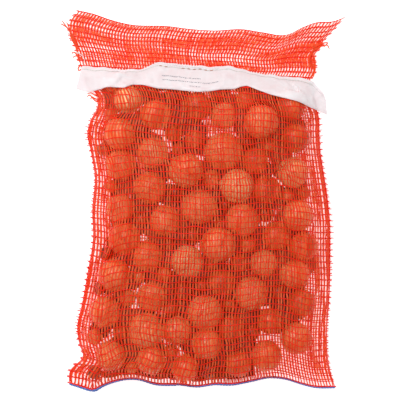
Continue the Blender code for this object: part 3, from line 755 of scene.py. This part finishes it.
def onSheet(grid, u, v, rise):
    # places of points given across (u), up (v) and above (rise) a sheet
    rows, columns = grid.shape[0] - 1, grid.shape[1] - 1
    normal = np.cross(np.gradient(grid, axis=1), np.gradient(grid, axis=0))
    normal /= np.linalg.norm(normal, axis=2, keepdims=True)
    i = np.clip(np.floor(u * columns).astype(int), 0, columns - 1)
    j = np.clip(np.floor(v * rows).astype(int), 0, rows - 1)
    s, t = (u * columns - i)[:, None], (v * rows - j)[:, None]

    def between(values):
        low = values[j, i] * (1 - s) + values[j, i + 1] * s
        return low * (1 - t) + (values[j + 1, i] * (1 - s) + values[j + 1, i + 1] * s) * t

    spread = between(grid) + between(normal) * rise[:, None]
    past = ((s < 0) | (s > 1) | (t < 0) | (t > 1))[:, 0]
    s, t = np.clip(s, 0, 1), np.clip(t, 0, 1)
    level = between(grid)[:, 2] + rise  # past the sheet's edges points keep the edge's height
    spread[past, 2] = level[past]
    spread[:, 2] = np.maximum(spread[:, 2], plyLook["floor"])
    return spread


sackFlat = (2 * sackShape["halfWidth"], foldPoint.y - sackShape["bottom"])
flakeModel = modelFlake()
flakeDice, flakes = np.random.default_rng(5), []
for row in range(skinLook["up"]):
    for column in range(skinLook["across"]):
        shifted = column + 0.5 * (row % 2)
        flakeU = skinLook["left"] + (skinLook["right"] - skinLook["left"]) * shifted / (skinLook["across"]
            - 0.5)
        flakeV = skinLook["foot"] + (skinLook["head"] - skinLook["foot"]) * row / (skinLook["up"] - 1)
        flakeU = flakeU + flakeDice.normal(0, skinLook["scatter"])
        flakeV = flakeV + flakeDice.normal(0, skinLook["scatter"])
        away = [math.hypot((flakeU - p) * sackFlat[0], (flakeV - q) * sackFlat[1]) for p, q in barePlaces]
        filled = skinLook["cornerLeft"] < flakeU < skinLook["cornerRight"]
        if min(away) < skinLook["bareRadius"] or (flakeV < skinLook["cornerTop"] and not filled):
            continue
        flake = copyOf(flakeModel, "flake")
        places = pointsOf(flake)
        angle = np.arctan2(places[:, 1], places[:, 0]) + flakeDice.uniform(0, 6)
        uneven = 1 + 0.14 * np.sin(2 * angle) + 0.08 * np.sin(5 * angle + 1)
        size = flakeDice.uniform(*skinLook["radius"]) * uneven
        layer = (column + 2 * row) % skinLook["layers"]
        acrossAt = np.clip(flakeU + places[:, 0] * size / sackFlat[0], *skinLook["spanAcross"])
        upAt = np.clip(flakeV + places[:, 1] * size / sackFlat[1], *skinLook["spanUp"])
        rise = np.full(len(places), skinLook["rise"] + layer * skinLook["layer"])
        setPoints(flake, onSheet(backSheet, acrossAt, upAt, rise))
        setAttribute(flake, "skinGrain", places * (0.9, 0.2, 0) + flakeDice.uniform(-40, 40, 3),
            "FLOAT_VECTOR")
        # painted shade: a dark tone, so the skins seen between the onions read as shadow
        setAttribute(flake, "skinTone", np.full(len(places), flakeDice.uniform(0.0, skinLook["palest"])))
        flakes.append(flake)
bpy.data.objects.remove(flakeModel)
skinsAndGapShade = joinAll(flakes, "shedSkinsAndGapShade")
addModifier(skinsAndGapShade, "SOLIDIFY", thickness=skinLook["thickness"], offset=0.0)
skinsAndGapShade.data.materials.append(skinMaterial)
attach(skinsAndGapShade, "root")
print("shed skins made:", len(flakes))


# The front ply settles over the onions as cloth

clothLook = {
    "frames": 30, "mass": 0.002, "tension": 12.0, "compression": 4.0, "shear": 4.0, "bending": 0.02,
    "shrink": 0.03, "gap": 0.9 * mm, "colliderGap": 0.3 * mm, "friction": 12.0, "damping": 4.0, "quality": 7,
    "collisionQuality": 3,
}


def clearOfOnions(places, clearance):
    # lifts points that lie inside an onion's sphere straight out of it
    flat = places.reshape(-1, 3).copy()
    for _ in range(3):
        for centre, radius in zip(centres, radii):
            away = flat - centre
            distance = np.linalg.norm(away, axis=1)
            inside = (distance < radius + clearance) & (flat[:, 2] > centre[2] - 0.3 * radius)
            flat[inside] = centre + away[inside] / distance[inside, None] * (radius + clearance)
    return flat.reshape(places.shape)


def settleCloth(name, places, colliders, look, pinned):
    # runs Blender's cloth from these places and returns where they end
    rows, columns = places.shape[0] - 1, places.shape[1] - 1
    sheet, order = gridSheet(name, columns, rows, places)
    held = sheet.vertex_groups.new(name="held")
    for i, weight in zip(order, pinned.ravel()):
        if weight > 0:
            held.add([int(i)], float(weight), "REPLACE")
    for collider in colliders:
        collider.modifiers.new("collision", "COLLISION")
        collider.collision.thickness_outer = look["colliderGap"]
        collider.collision.cloth_friction = look["friction"]
    cloth = sheet.modifiers.new("cloth", "CLOTH")
    cloth.settings.quality = look["quality"]
    cloth.settings.mass = look["mass"]
    cloth.settings.tension_stiffness = look["tension"]
    cloth.settings.compression_stiffness = look["compression"]
    cloth.settings.shear_stiffness = look["shear"]
    cloth.settings.bending_stiffness = look["bending"]
    cloth.settings.shrink_min = look["shrink"]
    cloth.settings.vertex_group_mass = "held"
    cloth.settings.air_damping = look["damping"]
    cloth.collision_settings.distance_min = look["gap"]
    cloth.collision_settings.collision_quality = look["collisionQuality"]
    scene = bpy.context.scene
    for step in range(1, look["frames"] + 1):
        scene.frame_set(step)
    makeActive(sheet)
    bpy.ops.object.modifier_apply(modifier="cloth")
    scene.frame_set(1)
    settled = pointsOf(sheet)[order].reshape(places.shape)
    bpy.data.objects.remove(sheet)
    for collider in colliders:
        collider.modifiers.clear()
    return settled


collider = joinAll([copyOf(onion, "proxy") for onion in onions], "onionCollider")
collider.parent = None
pinned = np.zeros(u.shape)
pinned[0], pinned[-1], pinned[:, 0], pinned[:, -1] = 1, 1, 1, 1
settled = settleCloth("frontCloth", clearOfOnions(frontSheet, plyLook["beforeCloth"]), [collider],
    clothLook,
    pinned)
moved = np.linalg.norm(settled - frontSheet, axis=2)
print("front ply settled: moves", round(moved.mean() * 1000, 2), "mm on average and",
    round(moved.max() * 1000, 1), "at most")
frontSheet = settled
bpy.data.objects.remove(collider)
frontSheet = clearOfOnions(frontSheet, plyLook["overOnions"])
closeEdges()
frontSheet[..., 2] = np.maximum(frontSheet[..., 2], backSheet[..., 2] + plyLook["apart"])


# The knit: one link and one length of tape, repeated and laid on the sheets

def modelLink():
    # a knitted loop: a flattened ring, one end passing under the next
    deselectAll()
    length, width, fat = netLook["linkLength"], netLook["linkWidth"], netLook["linkYarn"]
    bpy.ops.mesh.primitive_torus_add(
        major_segments=7, minor_segments=3, major_radius=(length - fat) / 2, minor_radius=fat / 2)
    link = bpy.context.object
    bpy.ops.object.mode_set(mode="EDIT")
    bpy.ops.mesh.select_all(action="SELECT")
    bpy.ops.transform.resize(value=(1.0, width / length, netLook["linkHeight"] / fat),
        center_override=(0, 0, 0))
    bpy.ops.transform.rotate(value=math.radians(5), orient_axis="Y", center_override=(0, 0, 0))
    bpy.ops.object.mode_set(mode="OBJECT")
    return link


def modelTape():
    # one row's length of tape: full width between rows, drawn in where a loop grips it
    deselectAll()
    bpy.ops.mesh.primitive_plane_add(size=1.0)
    tape = bpy.context.object
    bpy.ops.object.mode_set(mode="EDIT")
    bpy.ops.mesh.select_all(action="SELECT")
    bpy.ops.transform.resize(value=(netLook["tapeWidth"], netLook["rowPitch"], 1.0),
        center_override=(0, 0, 0))
    bpy.ops.object.mode_set(mode="OBJECT")
    tapeLength = netLook["rowPitch"]
    for cut in (-0.25, 0.0, 0.25):
        editVertices(tape, lambda co: True)
        bpy.ops.mesh.bisect(plane_co=(0, cut * tapeLength, 0), plane_no=(0, 1, 0))
        bpy.ops.object.mode_set(mode="OBJECT")
    editVertices(tape, lambda co: abs(co.y) > 0.4 * tapeLength)
    bpy.ops.transform.resize(value=(netLook["gripped"], 1.0, 1.0), center_override=(0, 0, 0))
    bpy.ops.object.mode_set(mode="OBJECT")
    return tape


def repeat(unit, name, across, up, acrossStep, upStep):
    # a copy of the unit in columns and rows, starting at the unit's own place
    piece = copyOf(unit, name)
    for count, offset in ((up, (0, upStep, 0)), (across, (acrossStep, 0, 0))):
        if count > 1:
            addModifier(piece, "ARRAY", count=count, use_relative_offset=False, use_constant_offset=True,
                        constant_offset_displace=offset)
    return piece


link, tape = modelLink(), modelTape()
knitLook = {
    # the outermost rows are an open ladder of slimmer tapes; tapes zigzag between stitches
    "ladderReach": 0.98, "ladder": 0.75, "zigzag": 0.05, "uneven": 0.04, "wave": 0.1 * mm,
    "driftAcross": 0.0009, "driftUp": 0.0028,
    # the back ply's knit lies aside of and above the front one's, in parts of a stitch
    "backAside": 0.28, "backAsideDrift": 0.2, "backUp": 0.2, "backUpDrift": 0.15,
}


def nearEdge(place, steepness):
    # 1 inside, falling to 0 at either edge
    return np.minimum(1, steepness * np.minimum(place, 1 - place).clip(0))


def knitPly(name, grid, rows, seed, faceUp, slimness=1.0):
    # tapes and chains of one ply, laid on its sheet; returns the two pieces
    columns, tapePitch, rowPitch = netLook["tapes"], netLook["tapePitch"], netLook["rowPitch"]
    dice = np.random.default_rng(seed)
    tapes = repeat(tape, name + "Tapes", 1, rows, 0, rowPitch)
    editVertices(tapes, lambda co: True)
    bpy.ops.mesh.remove_doubles(threshold=0.05 * mm)
    bpy.ops.object.mode_set(mode="OBJECT")
    addModifier(tapes, "SOLIDIFY", thickness=netLook["tapeThickness"], offset=0.0)
    addModifier(tapes, "ARRAY", count=columns, use_relative_offset=False, use_constant_offset=True,
                constant_offset_displace=(tapePitch, 0, 0))
    chains = repeat(link, name + "Chains", columns + 1, rows + 1, tapePitch, rowPitch)
    for piece, startX, startY in ((tapes, 0.5, 0.5), (chains, 0.0, 0.0)):
        places = pointsOf(piece)
        across = places[:, 0] / tapePitch + startX
        up = places[:, 1] / rowPitch + startY
        perStrand = len(places) // (columns if piece is tapes else (columns + 1) * (rows + 1))
        strand = np.arange(len(places)) // perStrand
        setAttribute(piece, "strandTone", dice.uniform(0, 1, strand.max() + 1)[strand])
        if piece is tapes:
            outermost = (up > rows - knitLook["ladderReach"]) | (up < knitLook["ladderReach"])
            across = strand + 0.5 + (across - strand - 0.5) * np.where(outermost, knitLook["ladder"], 1.0)
            across = across + knitLook["zigzag"] * np.cos(math.pi * up) * np.where(strand % 2 == 0, 1, -1)
            across = across + dice.normal(0, knitLook["uneven"], columns)[strand]
            lift = places[:, 2] + knitLook["wave"] * np.cos(math.tau * up)
        else:
            lift = places[:, 2] + netLook["chainLift"]
            up = np.rint(up) + (up - np.rint(up)) * slimness
        u, v = across / columns, up / rows
        u = u + wander(u, v, knitLook["driftAcross"], seed + 1)
        v = v + wander(u, v, knitLook["driftUp"], seed + 2) * nearEdge(v, 12)
        if not faceUp:
            lift = -lift
            drift = knitLook["backAside"] + wander(u, v, knitLook["backAsideDrift"], seed + 5, finest=4)
            u = u + drift / columns * nearEdge(u, 70)
            drift = knitLook["backUp"] + wander(u, v, knitLook["backUpDrift"], seed + 6, finest=4)
            v = v + drift / rows * nearEdge(v, 60)
        setPoints(piece, onSheet(grid, u, v, lift))
        makeActive(piece)
        bpy.ops.object.shade_smooth_by_angle(angle=math.radians(50))
    tapes.data.materials.append(tapeMaterial)
    chains.data.materials.append(chainMaterial)
    return tapes, chains


# the sack's two plies, knitted: their tapes are full width on half their length, then taper
for name, grid, node, seed, faceUp in (
        ("frontNet", frontSheet, "front_net", 11, True), ("backNet", backSheet, "back_net", 23, False)):
    tapes, chains = knitPly(name, grid, netLook["rows"], seed, faceUp, netLook["overPile"] if faceUp else 1.0)
    for piece in (tapes, chains):
        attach(piece, "root")
        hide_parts(node)
    print(name, "has", len(tapes.data.polygons), "+", len(chains.data.polygons), "faces")


# The open net past the seam

headerLook = {"columns": 76, "steps": 16, "ripple": 0.5 * mm, "lowest": 1.0 * mm}
hu, hv = np.meshgrid(np.linspace(0, 1, headerLook["columns"] + 1), np.linspace(0, 1, headerLook["steps"] + 1))
hx, hy = headerPlaces(hu, hv)
for name, node, seed, faceUp in (
        ("headerFront", "header_front_net", 31, True), ("headerBack", "header_back_net", 41, False)):
    low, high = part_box(node)
    middle = (low.z + high.z) / 2
    grid = np.stack([hx, hy, np.full(hx.shape, middle)], -1)
    grid[..., 2] = np.maximum(grid[..., 2] + wander(hu, hv, headerLook["ripple"], seed, finest=6),
        headerLook["lowest"])
    if faceUp:
        headerGrid = grid
    tapes, chains = knitPly(name, grid, netLook["headerRows"], seed, faceUp)
    for piece in (tapes, chains):
        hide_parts(node)
        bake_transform(piece)
    print(name, "has", len(tapes.data.polygons), "+", len(chains.data.polygons), "faces")


# The label: a strip of nonwoven sewn into the closing seam, lying over the net

# the strip's two long edges, from its left end to its right one, in mm
labelTop = [
    (-161, 174), (-146, 173), (-130, 171.5), (-108, 169), (-88, 169.5), (-78, 171.5), (-71, 175.5),
    (-65, 178), (-56, 179.5), (-44, 177), (-20, 175), (6, 173), (31, 174), (44, 171), (57, 166.5),
    (75, 163.5), (95, 161), (115, 159), (132, 157.5), (140, 153), (147, 145), (153, 139), (156, 131),
]
labelFoot = [
    (-169, 144), (-152, 139.5), (-142, 141.7), (-127, 145.6), (-113, 144.5), (-106, 143), (-94, 148.2),
    (-82, 148.2), (-72, 145.5), (-62, 143), (-45, 142), (-27, 140), (-10, 138.5), (5, 139.5), (20, 142),
    (37, 142.5), (45, 146), (53, 147.5), (66, 141.5), (83, 135.2), (100, 130.5), (117, 126.1), (130, 121),
    (142, 117), (157, 110.5),
]


def evenly(points, count):
    # points spaced evenly along a line, in metres
    points = np.array(points, float) * mm
    run = np.concatenate([[0], np.cumsum(np.linalg.norm(np.diff(points, axis=0), axis=1))])
    steps = np.linspace(0, run[-1], count)
    return np.stack([np.interp(steps, run, points[:, axis]) for axis in range(2)], 1)


def gridMesh(name, grid):
    return gridSheet(name, grid.shape[1] - 1, grid.shape[0] - 1, grid)[0]


def supportUnder(places, support):
    # height of the net, or the floor, under each plan place
    tree = rayTree(support)
    heights = np.zeros(places.shape[:-1])
    for i in np.ndindex(heights.shape):
        hit = tree.ray_cast(Vector((*places[i][:2], 1.0)), Vector((0, 0, -1)))[0]
        heights[i] = hit.z if hit else 0.0
    return heights


def smoothed(values, times):
    for _ in range(times):
        padded = np.pad(values, 1, mode="edge")
        values = padded[1:-1, 1:-1] * 2 + padded[:-2, 1:-1] + padded[2:, 1:-1]
        values = (values + padded[1:-1, :-2] + padded[1:-1, 2:]) / 6
    return values


labelColumns, labelRows = labelLook["columns"], labelLook["rows"]
topLine, footLine = evenly(labelTop, labelColumns + 1), evenly(labelFoot, labelColumns + 1)
fine, coarse = np.linspace(0, 90, labelColumns + 1), np.linspace(0, 23, labelColumns + 1)
topLine[:, 1] += labelLook["raggedness"] * np.sin(fine) * np.sin(coarse)
lv = np.linspace(0, 1, labelRows + 1)[:, None, None]
labelGrid = footLine * (1 - lv) + topLine * lv
support = joinAll([gridMesh("supportSack", frontSheet), gridMesh("supportHeader", headerGrid)], "support")
heights = supportUnder(labelGrid, support)
lifted = np.maximum(smoothed(heights, 6), heights) + labelLook["clearance"] + labelLook["startHeight"]
labelSheet = np.concatenate([labelGrid, smoothed(lifted, 1)[..., None]], -1)
labelCloth = dict(clothLook, frames=14, tension=8.0, compression=8.0, shear=2.0, bending=0.03,
    shrink=labelLook["slack"])
pinned = np.zeros(heights.shape)
pinned[0], pinned[labelLook["seamRow"]], pinned[-1] = 1, 1, 1
labelSheet = settleCloth("labelCloth", labelSheet, [support], labelCloth, pinned)
print("label settled")
heights = supportUnder(labelSheet, support)
labelSheet[..., 2] = np.maximum(labelSheet[..., 2], heights + labelLook["clearance"])
bpy.data.objects.remove(support)

seamRow = labelLook["seamRow"]
labelPieces = []
for name, part, node in (
        ("labelFlap", labelSheet[:seamRow + 1], "label_flap"),
            ("labelHem", labelSheet[seamRow:], "label_hem")):
    piece = gridMesh(name, part)
    addModifier(piece, "SUBSURF", levels=1, render_levels=1)
    addModifier(piece, "SOLIDIFY", thickness=labelLook["thickness"], offset=0.0)
    makeActive(piece)
    bpy.ops.object.shade_smooth()
    piece.data.materials.append(labelMaterial)
    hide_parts(node)
    labelPieces.append(piece)
labelFlap, labelHem = labelPieces
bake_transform(labelFlap)
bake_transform(labelHem)


# Stitches: the closing seam, the two side seams and the bottom edge

def stitchLine(name, grid, way, at, span, pitchCount, rise, size, material):
    # a chain of loops on a sheet, along its u or v direction
    start, end = span
    piece = repeat(link, name, pitchCount, 1, netLook["tapePitch"], 0)
    places = pointsOf(piece)
    t = start + (end - start) * (places[:, 0] / netLook["tapePitch"] + 0.5) / pitchCount
    width = np.linalg.norm((grid[0, -1] if way == "v" else grid[-1, 0]) - grid[0, 0])
    side = at + places[:, 1] * size / width
    u, v = (side, t) if way == "v" else (t, side)
    setPoints(piece, onSheet(grid, u, v, places[:, 2] * size + rise))
    makeActive(piece)
    bpy.ops.object.shade_smooth_by_angle(angle=math.radians(50))
    if material:
        piece.data.materials.append(material)
    return piece


stitchLook = {
    "sideStitches": 104, "sideSpan": (0.004, 0.985), "footStitches": 88, "footSpan": (0.002, 0.998),
    "closingStitches": 82, "closingSpan": (0.012, 0.915), "closingRise": 0.35 * mm, "closingSize": 0.62,
}
edgeMiddle = (frontSheet + backSheet) / 2
for name, at, node in (("leftSeamChain", 0.0015, "left_side_seam"),
        ("rightSeamChain", 0.9985, "right_side_seam")):
    seam = stitchLine(name, edgeMiddle, "v", at, stitchLook["sideSpan"], stitchLook["sideStitches"], 0.0, 0.9,
        chainMaterial)
    setAttribute(seam, "strandTone", np.full(len(seam.data.vertices), 0.5))
    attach(seam, "root")
    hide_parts(node)

bottomParts = []
for at, rise, size in ((-0.0024, 0.9 * mm, 1.0), (-0.0042, 0.2 * mm, 1.0), (-0.0024, -0.5 * mm, 1.0)):
    bottomParts.append(stitchLine("bottomThread", edgeMiddle, "u", at, stitchLook["footSpan"],
        stitchLook["footStitches"], rise, size, blueThread))
bottomThread = joinAll(bottomParts, "bottomThread")
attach(bottomThread, "root")
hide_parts("bottom_seam_thread")

stitchRow = seamRow / labelRows
closing = stitchLine("closingStitches", labelSheet, "u", stitchRow, stitchLook["closingSpan"],
    stitchLook["closingStitches"], stitchLook["closingRise"], stitchLook["closingSize"], whiteThread)
closing.data.materials.append(rustThread)
perStitch = len(closing.data.polygons) // stitchLook["closingStitches"]
for number in (*range(26, 30), *range(34, 47)):  # rust yarn shows between the white stitches here
    for polygon in closing.data.polygons[number * perStitch:(number + 1) * perStitch]:
        polygon.material_index = number % 2
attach(closing, "root")
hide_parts("closing_thread")
print("label and stitches made")


# Loose ends of tape and yarn along the open net's torn sides

strayLook = {
    "width": 2.0 * mm, "thickness": 0.12 * mm, "height": 2.6 * mm, "lengths": 11, "step": 0.25 * mm,
    "curl": 0.6 * mm, "taper": 0.4,
}
# each loose end's points in mm, from the net outwards
strays = [
    [(-168, 199), (-176, 217), (-182, 226), (-187, 233)],
    [(-170, 203), (-178, 221), (-185, 227), (-189, 229)],
    [(-166, 195), (-173, 213), (-178, 224), (-181, 231)],
    [(-164, 180), (-168, 189), (-172, 192), (-174, 190)],
    [(-163, 176), (-166, 171), (-165, 168), (-162, 170)],
    [(-160, 182), (-165, 186), (-169, 187), (-173, 185)],
    [(138, 197), (150, 203), (158, 204), (153, 199)], [(137, 192), (146, 198), (157, 201), (160, 196)],
    [(136, 188), (141, 197), (140, 206), (136, 210)], [(139, 160), (142, 172), (141, 184), (138, 190)],
    [(136, 158), (140, 168), (138, 178), (140, 187)], [(134, 161), (137, 171), (134, 181), (136, 189)],
    [(-137, 133), (-144, 136), (-149, 139), (-154, 138)],
    [(-136, 129), (-145, 132), (-151, 136), (-155, 134)],
    [(-137, 126), (-144, 129), (-148, 133), (-150, 131)],
]


def layStray(points, number):
    # a flat loose end on a smooth line, lying on the net
    places = np.linspace(0, 1, len(points))
    steps = np.linspace(0, 1, strayLook["lengths"] + 1)
    line = np.stack([along(list(zip(places, [p[axis] * mm for p in points])), steps) for axis in range(2)], 1)
    tape = repeat(strayModel, "stray", strayLook["lengths"], 1, 1.0, 0)
    flat = pointsOf(tape)
    t = np.clip(flat[:, 0] / strayLook["lengths"], 0, 1)
    ahead = np.gradient(line, axis=0)
    ahead /= np.linalg.norm(ahead, axis=1, keepdims=True)
    centre = np.stack([np.interp(t, steps, line[:, axis]) for axis in range(2)], 1)
    aside = np.stack([-np.interp(t, steps, ahead[:, 1]), np.interp(t, steps, ahead[:, 0])], 1)
    rise = strayLook["height"] + strayLook["step"] * (number % 4)
    rise = rise + strayLook["curl"] * np.sin(4 * t + number) * t
    spread = centre + aside * flat[:, 1:2] * (1 - strayLook["taper"] * t[:, None])
    setPoints(tape, np.concatenate([spread, rise[:, None]], 1))
    return tape


deselectAll()
bpy.ops.mesh.primitive_plane_add(size=1.0, location=(0.5, 0, 0))
strayModel = bpy.context.object
bpy.ops.object.transform_apply(location=True)
bpy.ops.object.mode_set(mode="EDIT")
bpy.ops.mesh.select_all(action="SELECT")
bpy.ops.transform.resize(value=(1.0, strayLook["width"], 1.0), center_override=(0, 0, 0))
bpy.ops.object.mode_set(mode="OBJECT")
loose = joinAll([layStray(points, number) for number, points in enumerate(strays)], "looseEnds")
bpy.data.objects.remove(strayModel)
addModifier(loose, "SOLIDIFY", thickness=strayLook["thickness"], offset=0.0)
setAttribute(loose, "strandTone", np.full(len(loose.data.vertices), 0.4))
loose.data.materials.append(tapeMaterial)
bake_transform(loose)
for unit in (link, tape):
    bpy.data.objects.remove(unit)
